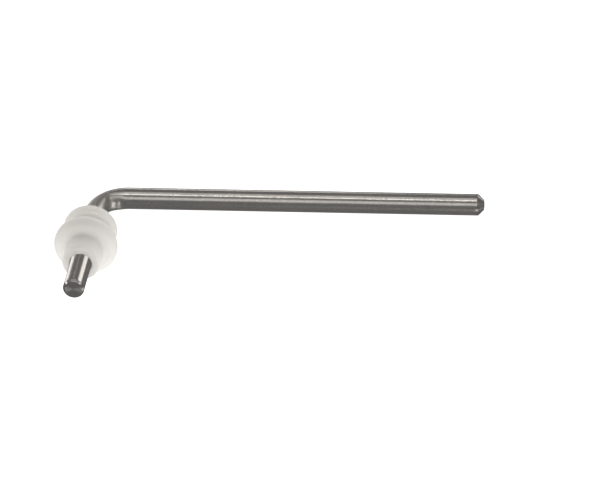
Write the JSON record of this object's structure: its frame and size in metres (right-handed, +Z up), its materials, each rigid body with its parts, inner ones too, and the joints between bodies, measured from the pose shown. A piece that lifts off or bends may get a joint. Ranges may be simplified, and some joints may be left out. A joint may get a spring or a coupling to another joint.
{
  "type": "flame sensor probe",
  "caption": "Round steel flame-sensing rod bent into an L, with a stepped white ceramic insulator cemented on its short terminal arm.",
  "frame": {"origin": "middle of the probe's footprint, on the table that it lies on", "axes": "+X along the long sensing arm to its tip, +Z up from the table; the short terminal arm points to -Y and rises by 15.0 degrees, because the insulator's collar holds it up"},
  "size_m": [0.0924, 0.04, 0.0145],
  "materials": {
    "rod_steel": "centreless-ground and drawn bar, satin with fine lengthwise marks",
    "white_ceramic": "unglazed dense white ceramic, matt with a faint sheen",
    "spring_steel": "blued spring steel",
    "cement": "dry ceramic cement, rough and chalky"
  },
  "bodies": {
    "root": {"sensing_rod": "rod_steel", "insulator": "white_ceramic", "retaining_ring": "spring_steel", "cement_fill": "cement"}
  },
  "joints": []
}
